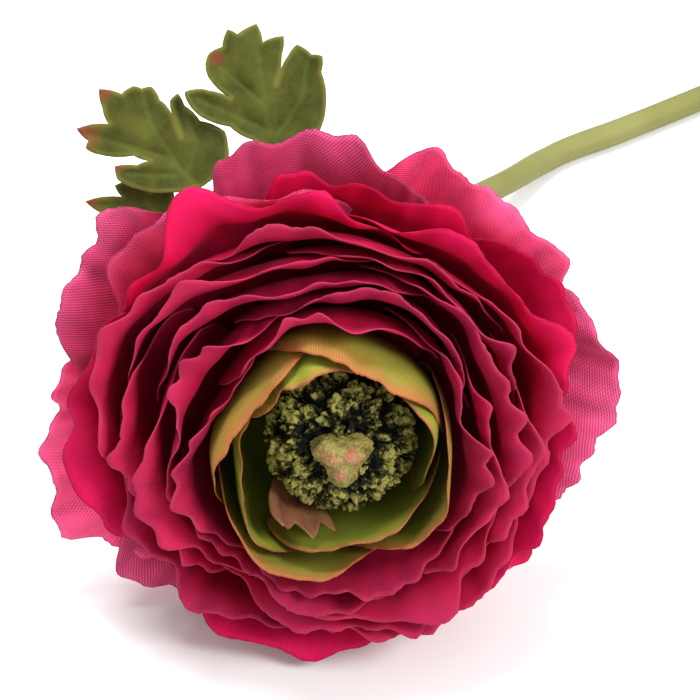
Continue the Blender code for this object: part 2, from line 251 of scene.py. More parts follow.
def weave(nodes, pitch_mm):
    """Height of a slanting weave, 0 to 1, over the cloth's own flat coordinates in millimetres."""
    cloth = nodes.add("ShaderNodeUVMap", uv_map="cloth").outputs["UV"]
    split = nodes.add("ShaderNodeSeparateXYZ")
    nodes.link(cloth, split.inputs[0])
    turn = 2 * math.pi / pitch_mm
    slanted = nodes.math("ADD", split.outputs[0], nodes.math("MULTIPLY", split.outputs[1], RIB_SLANT))
    ribs = nodes.math("SINE", nodes.math("MULTIPLY", slanted, turn))
    weft = nodes.math("SINE", nodes.math("MULTIPLY", split.outputs[1], turn))
    ribs = nodes.math("MULTIPLY", ribs, RIB_HEIGHT)
    weft = nodes.math("MULTIPLY", weft, WEFT_HEIGHT)
    return nodes.math("ADD", nodes.math("ADD", ribs, weft), 0.5), cloth


def fabric(
    name,
    claw_shade,
    body,
    rim,
    edge,
    contrast,
    translucency,
    sheen,
    pitch_mm=0.5,
    edge_mm=0.5,
    gloss=0.3,
    shade_stops_at=(0.25, 0.68),
):
    """Woven petal cloth: darker towards the claw as painted shade deep in the cup, paler at the rim, its
    frayed cut edge of another tone.
    """
    nodes = Nodes(name)
    threads, cloth = weave(nodes, pitch_mm)
    share = nodes.attribute("share")
    tone = nodes.attribute("tone")
    edge_distance = nodes.attribute("edge_mm")
    dye = nodes.noise(95, 4)
    streaks = nodes.noise(0.35, 2, vector=cloth)
    wandering = nodes.math("ADD", share, nodes.math("MULTIPLY", nodes.math("SUBTRACT", dye, 0.5), 0.25))
    # Painted shade: the colour darkens from the body colour to the claw colour towards the claw, where the
    # cup lies in shade.
    colour = nodes.ramp(wandering, (shade_stops_at[0], claw_shade), (shade_stops_at[1], body), (1.0, rim))
    shade = nodes.math("ADD", nodes.math("MULTIPLY", tone, 0.42), nodes.math("MULTIPLY", streaks, 0.3))
    # Painted shade: the creases darken the colour in their troughs and lighten it on their crests.
    shade = nodes.math("ADD", shade, nodes.math("MULTIPLY", nodes.attribute("crease"), 0.24))
    shade = nodes.math("ADD", shade, 0.5)
    depth = nodes.math("MULTIPLY", nodes.math("SUBTRACT", threads, 0.5), contrast * 2)
    colour = nodes.darken(colour, nodes.math("ADD", shade, depth))
    frayed = nodes.math("ADD", edge_distance, nodes.math("MULTIPLY", nodes.noise(900, 2), 0.5))
    near_edge = nodes.math("SUBTRACT", 1.0, span(nodes, frayed, 0.15, edge_mm))
    colour = nodes.mix(nodes.math("MULTIPLY", near_edge, 0.75), colour, edge)
    shader = nodes.shader
    nodes.link(colour, shader.inputs["Base Color"])
    nodes.link(nodes.math("ADD", nodes.math("MULTIPLY", threads, -0.16), 0.62), shader.inputs["Roughness"])
    shader.inputs["Specular IOR Level"].default_value = gloss
    shader.inputs["Specular Tint"].default_value = PINK_GLINT
    shader.inputs["Sheen Weight"].default_value = sheen
    shader.inputs["Sheen Roughness"].default_value = 0.4
    shader.inputs["Sheen Tint"].default_value = PINK_GLINT
    normal = nodes.bump(nodes.attribute("crease"), 0.9 * MM, 0.5, nodes.bump(dye, 0.5 * MM, 0.2))
    normal = nodes.bump(threads, 0.06 * MM, 0.6, normal)
    nodes.link(normal, shader.inputs["Normal"])
    let_light_through(nodes, colour, translucency)
    return nodes.material


def green_fabric(name, claw_shade, body, blush, edge, blush_mm):
    """Cup cloth: yellow-green, darkened towards the claw as painted shade inside the cup, blushing orange in
    soft patches towards a reddish cut edge.
    """
    nodes = Nodes(name)
    threads, cloth = weave(nodes, 0.5)
    share = nodes.attribute("share")
    tone = nodes.attribute("tone")
    edge_distance = nodes.attribute("edge_mm")
    dye = nodes.noise(110, 3)
    patches = nodes.noise(0.09, 2, vector=cloth)
    # Painted shade: darker towards the claw, inside the cup round the ball.
    colour = nodes.ramp(share, (0.45, claw_shade), (0.85, body), (1.0, body))
    reach = nodes.math("MULTIPLY", nodes.math("ADD", nodes.math("MULTIPLY", tone, 0.7), patches), blush_mm)
    closeness = nodes.math("DIVIDE", edge_distance, reach)
    blushing = nodes.math("SUBTRACT", 1.0, span(nodes, closeness, 0.0, 1.3))
    colour = nodes.mix(nodes.math("MULTIPLY", blushing, 0.9), colour, blush)
    near_edge = nodes.math("SUBTRACT", 1.0, span(nodes, edge_distance, 0.1, 0.7))
    colour = nodes.mix(nodes.math("MULTIPLY", near_edge, 0.6), colour, edge)
    shade = nodes.math("ADD", nodes.math("MULTIPLY", tone, 0.25), 0.78)
    shade = nodes.math("ADD", shade, nodes.math("MULTIPLY", nodes.math("SUBTRACT", threads, 0.5), 0.4))
    colour = nodes.darken(colour, shade)
    shader = nodes.shader
    nodes.link(colour, shader.inputs["Base Color"])
    nodes.link(nodes.math("ADD", nodes.math("MULTIPLY", threads, -0.2), 0.58), shader.inputs["Roughness"])
    shader.inputs["Specular IOR Level"].default_value = 0.3
    shader.inputs["Specular Tint"].default_value = YELLOW_GLINT
    nodes.link(nodes.bump(threads, 0.06 * MM, 0.7, nodes.bump(dye, 0.4 * MM, 0.2)), shader.inputs["Normal"])
    let_light_through(nodes, colour, 0.25)
    return nodes.material


def let_light_through(nodes, colour, share):
    """Mixes in light that passes through thin cloth."""
    through = nodes.add("ShaderNodeBsdfTranslucent")
    nodes.link(colour, through.inputs["Color"])
    blend = nodes.add("ShaderNodeMixShader")
    blend.inputs[0].default_value = share
    nodes.link(nodes.shader.outputs[0], blend.inputs[1])
    nodes.link(through.outputs[0], blend.inputs[2])
    nodes.link(blend.outputs[0], nodes.output.inputs["Surface"])


def leaf_fabric():
    """Stiffened leaf cloth: mottled olive green, paler veins, yellow rim and brown-red tips."""
    nodes = Nodes("leaf_cloth")
    mottle = nodes.noise(160, 5, 0.6)
    fine = nodes.noise(1500, 3, 0.6)
    colour = nodes.ramp(mottle, (0.35, (0.025, 0.033, 0.003)), (0.65, (0.075, 0.083, 0.011)))
    colour = nodes.mix(nodes.math("MULTIPLY", fine, 0.3), colour, (0.14, 0.15, 0.035))
    vein = nodes.math("SUBTRACT", 1.0, span(nodes, nodes.attribute("vein_mm"), 0.1, 0.8))
    colour = nodes.mix(nodes.math("MULTIPLY", vein, 0.35), colour, (0.09, 0.12, 0.02))
    edge = nodes.math("SUBTRACT", 1.0, span(nodes, nodes.attribute("edge_mm"), 0.1, 0.9))
    colour = nodes.mix(nodes.math("MULTIPLY", edge, 0.6), colour, (0.18, 0.18, 0.035))
    browning = nodes.math("ADD", nodes.attribute("brown"), nodes.math("MULTIPLY", mottle, 0.5))
    colour = nodes.mix(span(nodes, browning, 0.55, 1.1), colour, (0.17, 0.045, 0.02))
    shader = nodes.shader
    nodes.link(colour, shader.inputs["Base Color"])
    shader.inputs["Roughness"].default_value = 0.75
    shader.inputs["Specular IOR Level"].default_value = 0.12
    nodes.link(nodes.bump(fine, 0.12 * MM, 0.5), shader.inputs["Normal"])
    return nodes.material


def bract_cloth():
    """Brown-red cloth mottled with green, its raised threads paler."""
    nodes = Nodes("bract_cloth")
    threads, _ = weave(nodes, 0.36)
    mottle = nodes.noise(260, 4)
    colour = nodes.ramp(mottle, (0.35, (0.12, 0.028, 0.012)), (0.65, (0.2, 0.1, 0.025)))
    colour = nodes.mix(nodes.math("MULTIPLY", threads, 0.4), colour, (0.36, 0.13, 0.08))
    nodes.link(colour, nodes.shader.inputs["Base Color"])
    nodes.shader.inputs["Roughness"].default_value = 0.6
    nodes.link(nodes.bump(threads, 0.05 * MM, 0.6), nodes.shader.inputs["Normal"])
    return nodes.material


def moulded_plastic():
    """Pale green moulded stem: faintly clouded, with a slightly pitted, waxy skin."""
    nodes = Nodes("moulded_plastic")
    cloudy = nodes.noise(45, 3)
    pits = nodes.noise(1400, 2)
    colour = nodes.ramp(cloudy, (0.3, (0.18, 0.18, 0.055)), (0.7, (0.24, 0.24, 0.085)))
    nodes.link(colour, nodes.shader.inputs["Base Color"])
    nodes.link(nodes.math("ADD", nodes.math("MULTIPLY", cloudy, 0.2), 0.38), nodes.shader.inputs["Roughness"])
    nodes.shader.inputs["Specular IOR Level"].default_value = 0.1
    nodes.shader.inputs["Subsurface Weight"].default_value = 0.1
    nodes.shader.inputs["Subsurface Radius"].default_value = (1, 1, 0.4)
    nodes.shader.inputs["Subsurface Scale"].default_value = 1.0 * MM
    nodes.link(nodes.bump(pits, 0.04 * MM, 0.4), nodes.shader.inputs["Normal"])
    return nodes.material


def flock(name, dark, middle, light, contrast):
    """Flocked surface: a dark core under pale flock, dark in the hollows and light on the raised clumps, the
    hollows deepened with painted shade; pink where it is blushed.
    """
    nodes = Nodes(name)
    fuzz = nodes.noise(2600, 4, 0.75)
    specks = nodes.noise(900, 3, 0.7)
    rough = nodes.math("ADD", nodes.math("MULTIPLY", fuzz, 1.3), nodes.math("MULTIPLY", specks, contrast))
    rough = nodes.math("SUBTRACT", rough, 0.58 + contrast / 2)
    raised = nodes.math("ADD", nodes.attribute("raised"), rough)
    colour = nodes.ramp(raised, (0.2, dark), (0.55, middle), (0.95, light))
    blush = nodes.math("MULTIPLY", nodes.attribute("blush"), 0.8)
    colour = nodes.mix(blush, colour, (0.5, 0.12, 0.12))
    nodes.link(colour, nodes.shader.inputs["Base Color"])
    nodes.shader.inputs["Roughness"].default_value = 0.95
    nodes.shader.inputs["Specular IOR Level"].default_value = 0.1
    nodes.link(nodes.bump(fuzz, 0.25 * MM, 0.7), nodes.shader.inputs["Normal"])
    return nodes.material


def drawn_wire():
    """Plain steel wire with faint drawing marks."""
    nodes = Nodes("drawn_wire")
    marks = nodes.noise(700, 3)
    colour = nodes.ramp(marks, (0.3, (0.32, 0.32, 0.33)), (0.7, (0.55, 0.55, 0.56)))
    nodes.link(colour, nodes.shader.inputs["Base Color"])
    nodes.shader.inputs["Metallic"].default_value = 1.0
    nodes.link(nodes.math("ADD", nodes.math("MULTIPLY", marks, 0.3), 0.25), nodes.shader.inputs["Roughness"])
    return nodes.material


# Linear colours: cloth is given its painted shade at the claw, body, rim and edge; green cloth its painted
# shade at the claw, body, blush and edge
FINISHES = {
    "petal_outer": fabric(
        "petal_outer",
        (0.45, 0.01, 0.06),
        (0.8, 0.06, 0.2),
        (0.88, 0.13, 0.32),
        (0.25, 0.01, 0.045),
        pitch_mm=0.55,
        contrast=0.4,
        translucency=0.3,
        sheen=0.2,
    ),
    "petal_flared": fabric(
        "petal_flared",
        (0.34, 0.002, 0.022),
        (0.54, 0.004, 0.052),
        (0.66, 0.009, 0.085),
        (0.2, 0.004, 0.022),
        contrast=0.12,
        translucency=0.2,
        sheen=0.05,
        gloss=0.2,
    ),
    "petal_inner": fabric(
        "petal_inner",
        (0.32, 0.003, 0.022),
        (0.5, 0.008, 0.055),
        (0.5, 0.022, 0.085),
        (0.52, 0.05, 0.12),
        contrast=0.18,
        translucency=0.3,
        sheen=0.05,
        gloss=0.15,
        edge_mm=1.0,
        shade_stops_at=(0.3, 0.85),
    ),
    "green_cup": green_fabric(
        "green_cup",
        (0.09, 0.1, 0.003),
        (0.42, 0.40, 0.06),
        (0.58, 0.2, 0.075),
        (0.42, 0.075, 0.035),
        blush_mm=7.0,
    ),
    "green_heart": green_fabric(
        "green_heart",
        (0.08, 0.1, 0.002),
        (0.40, 0.45, 0.055),
        (0.5, 0.2, 0.07),
        (0.36, 0.08, 0.04),
        blush_mm=2.6,
    ),
    "leaf": leaf_fabric(),
    "bract": bract_cloth(),
    "plastic": moulded_plastic(),
    "flock": flock("flock", (0.004, 0.004, 0.005), (0.055, 0.05, 0.01), (0.31, 0.285, 0.075), 2.2),
    "pistil": flock("pistil_flock", (0.06, 0.05, 0.008), (0.17, 0.15, 0.035), (0.29, 0.27, 0.08), 0.8),
    "wire": drawn_wire(),
}


# ---------------------------------------------------------------- pieces


def add_piece(name, mesh, finish, replaced, matrix=None):
    """A visible piece that stands for CAD nodes of that name, riding on the one body."""
    mesh.materials.append(FINISHES[finish])
    mesh.shade_smooth()
    piece = bpy.data.objects.new(name, mesh)
    bpy.context.scene.collection.objects.link(piece)
    if matrix:
        mesh.transform(matrix)
    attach(piece, "root")
    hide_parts(*replaced)
    return piece


def mesh_of(bm, name):
    """Turns the bmesh into a mesh of that name and frees it."""
    mesh = bpy.data.meshes.new(name)
    bm.to_mesh(mesh)
    bm.free()
    return mesh


def thicken(piece, thickness):
    """Gives a sheet its thickness, half on each side."""
    shell = piece.modifiers.new("Thickness", "SOLIDIFY")
    shell.thickness = thickness
    shell.offset = 0


def parabola(start, middle, end, share):
    """The parabola through start at 0, middle at BELLY_AT and end at 1, and its slope."""
    bend = ((middle - start) / BELLY_AT - (end - start)) / (BELLY_AT - 1)
    rise = end - start - bend
    return start + rise * share + bend * share**2, rise + 2 * bend * share


def smooth_step(value):
    value = np.clip(value, 0, 1)
    return value * value * (3 - 2 * value)


class Ripple:
    """A smooth sum of a few seeded waves over (x, y), about -1 to 1."""

    def __init__(self, source, slowest, fastest, count=4):
        self.waves = []
        for _ in range(count):
            pace = source.uniform(slowest, fastest)
            skew = source.uniform(-0.5, 0.5) * pace
            phase = source.uniform(0, 2 * math.pi)
            self.waves.append((pace, skew, phase, 1 / count**0.5))

    def at(self, x, y):
        total = 0
        for pace, skew, phase, size in self.waves:
            total = total + size * np.sin(math.pi * (pace * x + skew * y) + phase)
        return total


def grid_faces(rows, columns):
    index = np.arange(rows * columns).reshape(rows, columns)
    corners = (index[:-1, :-1], index[:-1, 1:], index[1:, 1:], index[1:, :-1])
    return np.stack([corner.ravel() for corner in corners], axis=1)


def store(mesh, name, values):
    """Keeps one number for each vertex, which a material reads by its name."""
    attribute = mesh.attributes.new(name, "FLOAT", "POINT")
    attribute.data.foreach_set("value", np.asarray(values, np.float32).ravel())


def store_cloth(mesh, flat):
    """Writes each vertex's flat cloth coordinates, in millimetres, as the UV map that the weave reads."""
    layer = mesh.uv_layers.new(name="cloth")
    corners = np.empty(len(mesh.loops), np.int32)
    mesh.loops.foreach_get("vertex_index", corners)
    layer.data.foreach_set("uv", np.asarray(flat, np.float32)[corners].ravel())


def arc_lengths(points, axis):
    """Length along the grid from its start, in the points' own unit."""
    steps = np.linalg.norm(np.diff(points, axis=axis), axis=2)
    first = np.zeros_like(np.take(steps, [0], axis=axis))
    return np.cumsum(np.concatenate([first, steps], axis=axis), axis=axis)


def cloth_shares(across, along, ring_number, reach, source):
    """How far out on its cup each point lies, 0 to 1, and how the side edges waver."""
    lobe_depth, nick_depth = RING_STYLES[ring_number][3:5]
    cut = lobe_depth * Ripple(source, 1.5, 4.0).at(across, 0)
    cut = cut + nick_depth * Ripple(source, 6, 12).at(across, 0)
    cut = cut + FRAY_DEPTH * Ripple(source, 26, 36, 6).at(across, 0)
    side_cut = 1 + 0.025 * Ripple(source, 3, 8).at(along, 0) * smooth_step(along * 2)
    shoulders = 1 - SHOULDER_DROP * abs(across) ** 3
    return along * reach * shoulders * (1 + cut * smooth_step(along * 1.4)), side_cut


def ruffles(across, along, share, ring_number, source):
    """Height in millimetres of the cloth's slow and short waves, which grow towards the rim."""
    slow, short = RING_STYLES[ring_number][:2]
    loose = smooth_step((share - 0.35) / 0.65) ** 1.5
    edge_loose = smooth_step((share - 0.7) / 0.3)
    waves = slow * loose * Ripple(source, 0.8, 2.4, 3).at(across, along * 2) * 0.75
    return waves + short * edge_loose * Ripple(source, 3.5, 7, 4).at(across, along)


def bunching(turn, ring_number):
    """How far the ring swells outwards at each angle round the head, in millimetres."""
    swell = 0
    for pace, phase, drift, size in BUNCHING:
        swell = swell + size * np.sin(pace * turn + phase + drift * ring_number)
    lean, lean_way = LEANED_IN.get(ring_number, (0, 0))
    return swell - lean * np.maximum(np.cos(turn - math.radians(lean_way)), 0) ** 2


def petal_grid(ring_number, angle, reach, extra_roll, source):
    """Points of a petal in head millimetres, rows from claw to rim, their places on the cup, and creases."""
    _, _, half_spread, _, seat, belly, rim = PETAL_RINGS[ring_number]
    roll = RING_STYLES[ring_number][2]
    across, along = np.meshgrid(np.linspace(-1, 1, POINTS_ACROSS), np.linspace(0, 1, POINTS_ALONG) ** 0.8)
    width = CLAW_WIDTH + (1 - CLAW_WIDTH) * np.sin(math.pi / 2 * np.minimum(along / BELLY_AT, 1))
    share, side_cut = cloth_shares(across, along, ring_number, reach, source)
    radius, radius_slope = parabola(PEG_RADIUS_MM + CLAW_GAP_MM, belly[0], rim[0], share)
    height, height_slope = parabola(seat, belly[1], rim[1], share)
    slope = np.hypot(radius_slope, height_slope)
    spiral = (SPIRAL_LIFT_MM if ring_number else OUTER_SPIRAL_LIFT_MM) * across * smooth_step(share / 0.35)
    waves = ruffles(across, along, share, ring_number, source)
    turn = np.radians(angle + across * side_cut * half_spread * width)
    bunched = bunching(turn, ring_number)
    rolled = roll * (1 + 0.55 * Ripple(source, 1, 3, 3).at(across, 0)) + extra_roll * (1 - across**2)
    per_mm = np.radians(np.maximum(rolled, LEAST_ROLL)) / ((1 - ROLL_FROM) * reach * slope)
    past = np.maximum(share / reach - ROLL_FROM, 0) * reach * slope
    drawn_back = past - np.sin(past * per_mm) / per_mm
    lift = spiral + waves + bunched * smooth_step(share) + (1 - np.cos(past * per_mm)) / per_mm
    radius = radius + (lift * height_slope - drawn_back * radius_slope) / slope
    height = height - (lift * radius_slope + drawn_back * height_slope) / slope
    points = np.stack([radius * np.cos(turn), radius * np.sin(turn), height], axis=2)
    creases = Ripple(source, 5, 14, 6).at(across * (0.4 + 0.6 * along), along * 0.6)
    return above_floor(points, ring_number), share, creases * smooth_step((along - 0.2) / 0.5)


def above_floor(points, ring_number):
    """Lifts what would sink below the floor, softly, as the petals the head rests on are pressed flat."""
    height = HEAD_BASE.z / MM + points @ UP_IN_HEAD
    level = FLOOR_GAP_MM + ring_number * RING_ABOVE_RING_MM
    over = np.clip((height - level) / PRESS_SOFTNESS_MM, -60, 30)
    lifted = np.where(over < 29, level + PRESS_SOFTNESS_MM * np.log1p(np.exp(over)), height)
    return points + (lifted - height)[:, :, None] * UP_IN_HEAD


def add_petal(node, ring_number, angle, reach):
    source = random.Random(node)
    extra_roll = ROLLED_BACK.get(node, 0)
    angle += TURNED.get(node, 0)
    reach *= SHORTER.get(node, 1.0)
    points, share, creases = petal_grid(ring_number, angle, reach, extra_roll, source)
    mesh = bpy.data.meshes.new(node + "_cloth")
    flat_points = points.reshape(-1, 3) * MM
    mesh.from_pydata(flat_points.tolist(), [], grid_faces(*share.shape).tolist())
    along_mm = arc_lengths(points, 0)
    across_mm = arc_lengths(points, 1)
    to_sides = np.minimum(across_mm, across_mm[:, -1:] - across_mm)
    to_rim = along_mm[-1:, :] - along_mm
    middle = across_mm - across_mm[:, -1:] / 2
    cut_way = source.uniform(0, math.pi)
    cloth_x = middle * math.cos(cut_way) - along_mm * math.sin(cut_way)
    cloth_y = middle * math.sin(cut_way) + along_mm * math.cos(cut_way)
    store(mesh, "share", share)
    store(mesh, "edge_mm", np.minimum(to_sides, to_rim))
    store(mesh, "tone", np.full(share.shape, source.random()))
    # The creases drive the bump and also a painted shade in the colour.
    store(mesh, "crease", 0.5 + 0.25 * creases)
    store_cloth(mesh, np.stack([cloth_x, cloth_y], axis=2).reshape(-1, 2))
    finish = "petal_outer" if node in LIGHTER else RING_STYLES[ring_number][-1]
    thicken(add_piece(node + "_cloth", mesh, finish, [node], HEAD_FRAME), FABRIC)


def add_petals():
    for ring_number, (name, count, _, first, _, _, _) in enumerate(PETAL_RINGS):
        for number in range(count):
            angle, reach = first + 360 / count * number, 1.0
            if ring_number == 0:
                angle, reach = OUTER_SPLAY[number]
            if ring_number == 1:
                reach = FLARED_REACH[number]
            add_petal(f"{name}_{number + 1}", ring_number, angle, reach)


# ---------------------------------------------------------------- flower's centre

BALL_RADIUS_MM = 12.8
BALL_HALF_HEIGHT_MM = 8.8
BALL_ASIDE_MM = Vector((1.4, 0.2, 0))
CLUMP_MM = 2.3
GRAIN_MM = 0.55
# noise_vector shifts its noise by this seed, and by the clock's when none is set
WANDER_SEED = 7
GROOVE_RADIUS_MM = 5.9
GROOVE_WIDTH_MM = 1.2
PISTIL_SUNK_MM = 1.6
LOBE_TURN = math.radians(30)


def cells(point, size):
    """How close the point is to the middle of its cell in a loose three-dimensional froth of that size."""
    distances, _ = noise.voronoi(point / size)
    return max(1 - 1.25 * distances[0], 0)


def add_ball():
    """Flocked stamens: lumpy clumps of grains over a dark core, with a groove round the pistil."""
    noise.seed_set(WANDER_SEED)
    bm = bmesh.new()
    raised = bm.verts.layers.float.new("raised")
    made = bmesh.ops.create_icosphere(bm, subdivisions=7, radius=1.0)["verts"]
    for vertex in made:
        way = vertex.co.normalized()
        on_ball = Vector((way.x * BALL_RADIUS_MM, way.y * BALL_RADIUS_MM, way.z * BALL_HALF_HEIGHT_MM))
        wander = noise.noise_vector(on_ball / 1.5) * 1.3 + noise.noise_vector(on_ball * 1.5) * 0.35
        clump = smooth_step(cells(on_ball + wander, CLUMP_MM) * 1.5)
        grain = cells(on_ball + wander * 0.6, GRAIN_MM)
        fuzz = noise.noise(on_ball * 2.6) + 0.6 * noise.noise(on_ball * 6.1)
        patchy = 0.5 + 0.6 * noise.noise(on_ball / 3.1 + Vector((7, 3, 1)))
        side = math.hypot(on_ball.x, on_ball.y)
        groove = math.exp(-(((side - GROOVE_RADIUS_MM) / GROOVE_WIDTH_MM) ** 2)) if way.z > 0 else 0
        depth = 1.7 * (1 - clump) + 0.5 * (1 - grain) + 0.25 * fuzz + 1.2 * groove + 1.1 * (0.5 - patchy)
        # The hollows and the groove round the pistil get low values here, so the flock paints them darker as
        # painted shade.
        height = 0.75 * clump + 0.35 * grain * clump + 0.25 * fuzz - 0.45 * groove + 0.7 * (patchy - 0.55)
        vertex[raised] = min(max(height, 0), 1)
        vertex.co = on_ball - way * max(depth, -0.3) + BALL_ASIDE_MM + Vector((0, 0, BALL_CENTRE_MM))
    bmesh.ops.scale(bm, vec=(MM, MM, MM), verts=bm.verts)
    mesh = mesh_of(bm, "flocked_stamens")
    add_piece("flocked_stamens", mesh, "flock", ["stamen_ball"], HEAD_FRAME)


def add_pistil():
    """Three soft granular lobes, pale green with pink on their crowns."""
    bm = bmesh.new()
    raised = bm.verts.layers.float.new("raised")
    blush = bm.verts.layers.float.new("blush")
    bottom = BALL_CENTRE_MM + BALL_HALF_HEIGHT_MM - PISTIL_SUNK_MM
    made = bmesh.ops.create_icosphere(bm, subdivisions=6, radius=1.0)["verts"]
    for vertex in made:
        way = vertex.co.normalized()
        turn = math.atan2(way.y, way.x)
        lobe = 0.5 + 0.5 * math.cos(3 * (turn - LOBE_TURN))
        side = math.hypot(way.x, way.y)
        radius = 3.3 + 1.8 * lobe
        grains = 0.06 * noise.noise(way * 8) + 0.07 * noise.noise(way * 19)
        rough = 1 + 0.12 * noise.noise(way * 2.6) + grains
        on_crown = lobe * math.sin(math.pi * min(side * 1.1, 1))
        crown = 3.2 + 0.9 * on_crown
        # Painted shade: the lobes are lighter towards the top and darker down the sides, as if lit from
        # above.
        vertex[raised] = min(max(0.35 + 0.4 * way.z + 2.6 * (rough - 1), 0), 1)
        patch = 0.5 + noise.noise(Vector((way.x * 2.4, way.y * 2.4, 4.0))) + noise.noise(way * 7) * 0.5
        vertex[blush] = min(max(way.z, 0) * patch * (0.25 + 1.1 * on_crown), 1)
        lobed = Vector((way.x * radius * rough, way.y * radius * rough, bottom + way.z * crown * rough))
        vertex.co = lobed + BALL_ASIDE_MM
    bmesh.ops.scale(bm, vec=(MM, MM, MM), verts=bm.verts)
    mesh = mesh_of(bm, "flocked_pistil")
    add_piece("flocked_pistil", mesh, "pistil", ["pistil"], HEAD_FRAME)


# ---------------------------------------------------------------- leaves and bract

LEAF_SLANT = math.radians(48)
LEAF_CUP = 0.012
LEAF_THICKNESS = 0.35 * MM

# Toothed outlines, and then veins, in millimetres to the right of each leaf's own base and up its blade
RIGHT_LEAF = (
    (0.8, -0.4), (7.0, 3.7), (8.2, 8.7), (7.3, 14.5), (7.5, 17.3), (5.5, 17.7), (2.9, 19.6), (1.5, 17.8),
    (-0.9, 12.3), (0.2, 17.6), (0.5, 21.0), (-3.3, 19.9), (-4.4, 23.2), (-7.8, 21.2), (-9.5, 22.0),
    (-10.5, 18.9), (-12.8, 17.7), (-13.5, 15.7), (-13.0, 13.4), (-9.1, 9.8), (-12.8, 11.0), (-15.2, 11.3),
    (-17.1, 10.7), (-16.7, 9.1), (-14.4, 6.4), (-9.1, 4.6), (-5.1, 2.3), (-0.8, -0.4),
)
LEFT_LEAF = (
    (1.0, -3.0), (5.4, 1.4), (5.3, 4.6), (4.7, 6.9), (0.2, 8.8), (-2.6, 11.6), (-3.7, 13.7), (-5.1, 12.4),
    (-4.7, 10.0), (-3.2, 5.8), (-5.9, 11.6), (-6.9, 12.4), (-8.4, 14.9), (-10.2, 14.5), (-11.6, 14.9),
    (-13.7, 13.4), (-17.6, 14.1), (-17.0, 10.8), (-16.0, 8.0), (-21.5, 6.9), (-19.4, 4.8), (-19.8, 3.4),
    (-18.2, 2.5), (-11.6, 2.4), (-8.8, 1.4), (-11.0, 0.6), (-14.9, 0.4), (-14.4, -2.0), (-10.5, -3.8),
    (-5.3, -4.2), (-1.0, -3.6),
)
LOW_LEAF = (
    (0.0, -0.8), (0.0, 0.8), (-0.4, 3.4), (-0.9, 5.6), (-3.6, 6.4), (-4.8, 4.8), (-7.4, 7.2), (-11.2, 6.0),
    (-10.0, 4.0), (-16.4, 3.0), (-13.2, 0.8), (-14.0, -1.6), (-9.0, -2.2), (-9.6, -4.6), (-5.0, -4.6),
    (-2.4, -2.8),
)
RIGHT_VEINS = (
    ((0, 0), (-2.5, 6), (-4.4, 22)),
    ((-1, 3), (4, 10), (5, 17)),
    ((-2, 4), (-9, 7), (-15, 9.6)),
    ((-3, 9), (-11, 15.5)),
)
LEFT_VEINS = (
    ((0, -3), (-5, 2), (-20, 6)),
    ((-3, 0), (-8, 7), (-10, 13.5)),
    ((-2, -1), (0, 5), (-3, 11)),
    ((-4, -1), (-13, -1)),
)
LOW_VEINS = (((0, 0), (-6, 1), (-14, 2.4)), ((-3, 0.5), (-7, 5)), ((-3, 0), (-7, -3)))
# Node, outline, veins, the base's place from PLACE in millimetres, and its brown patches: middle and size
LEAVES = (
    ("leaf_right", RIGHT_LEAF, RIGHT_VEINS, (-8.5, 36.0, 50.4), (((-11.5, 17), 2.5),)),
    (
        "leaf_left",
        LEFT_LEAF,
        LEFT_VEINS,
        (-23.4, 34.2, 48.0),
        (((-21.5, 6), 6.5), ((-17.6, 14.1), 4.5), ((-14.5, 0.4), 2.5)),
    ),
    ("leaf_low", LOW_LEAF, LOW_VEINS, (-27.6, 31.6, 38.6), (((-16, 3), 4.0),)),
)
LATTICE_MM = 0.55
SIDE_POINTS = 4
SIDE_BOW = 0.06


def distance_to_lines(points, lines):
    """Shortest distance of each 2-D point to any stretch of the polylines."""
    best = np.full(len(points), 1e9)
    for line in lines:
        for start, end in zip(line, line[1:]):
            start, end = np.array(start, float), np.array(end, float)
            way = end - start
            share = np.clip(((points - start) @ way) / (way @ way), 0, 1)
            best = np.minimum(best, np.linalg.norm(points - start - share[:, None] * way, axis=1))
    return best


def inside(outline, x, y):
    """Whether the 2-D point lies within the outline."""
    found = False
    for (ax, ay), (bx, by) in zip(outline, outline[1:] + outline[:1]):
        if (ay > y) != (by > y) and x < ax + (bx - ax) * (y - ay) / (by - ay):
            found = not found
    return found


def filled_outline(outline, finest):
    """A triangle mesh of the outline over a fine triangular lattice."""
    rim = []
    for start, end in zip(outline, outline[1:] + outline[:1]):
        start, end = Vector(start), Vector(end)
        steps = max(1, round((end - start).length / finest))
        rim += [start.lerp(end, step / steps) for step in range(steps)]
    middle = []
    low = [min(point[axis] for point in outline) for axis in (0, 1)]
    high = [max(point[axis] for point in outline) for axis in (0, 1)]
    row_height = finest * math.sqrt(0.75)
    for row in range(int((high[1] - low[1]) / row_height) + 1):
        for column in range(int((high[0] - low[0]) / finest) + 2):
            x = low[0] + (column - row % 2 / 2) * finest
            y = low[1] + row * row_height
            place = Vector((x, y))
            if inside(outline, x, y) and min((point - place).length for point in rim) > 0.6 * finest:
                middle.append(place)
    edges = [(number, (number + 1) % len(rim)) for number in range(len(rim))]
    points, _, faces, _, _, _ = delaunay_2d_cdt(rim + middle, edges, [], 1, 1e-5)
    bm = bmesh.new()
    vertices = [bm.verts.new((*point, 0)) for point in points]
    for face in faces:
        bm.faces.new([vertices[index] for index in face])
    bmesh.ops.recalc_face_normals(bm, faces=bm.faces)
    return bm


def rounded(outline):
    """The outline with softly bowed sides between its teeth, which stay sharp."""
    found = []
    for number, point in enumerate(outline):
        start = Vector(point)
        way = Vector(outline[(number + 1) % len(outline)]) - start
        out = Vector((way.y, -way.x)) * SIDE_BOW
        for step in range(SIDE_POINTS):
            share = step / SIDE_POINTS
            found.append(tuple(start + way * share + out * math.sin(math.pi * share)))
    return found


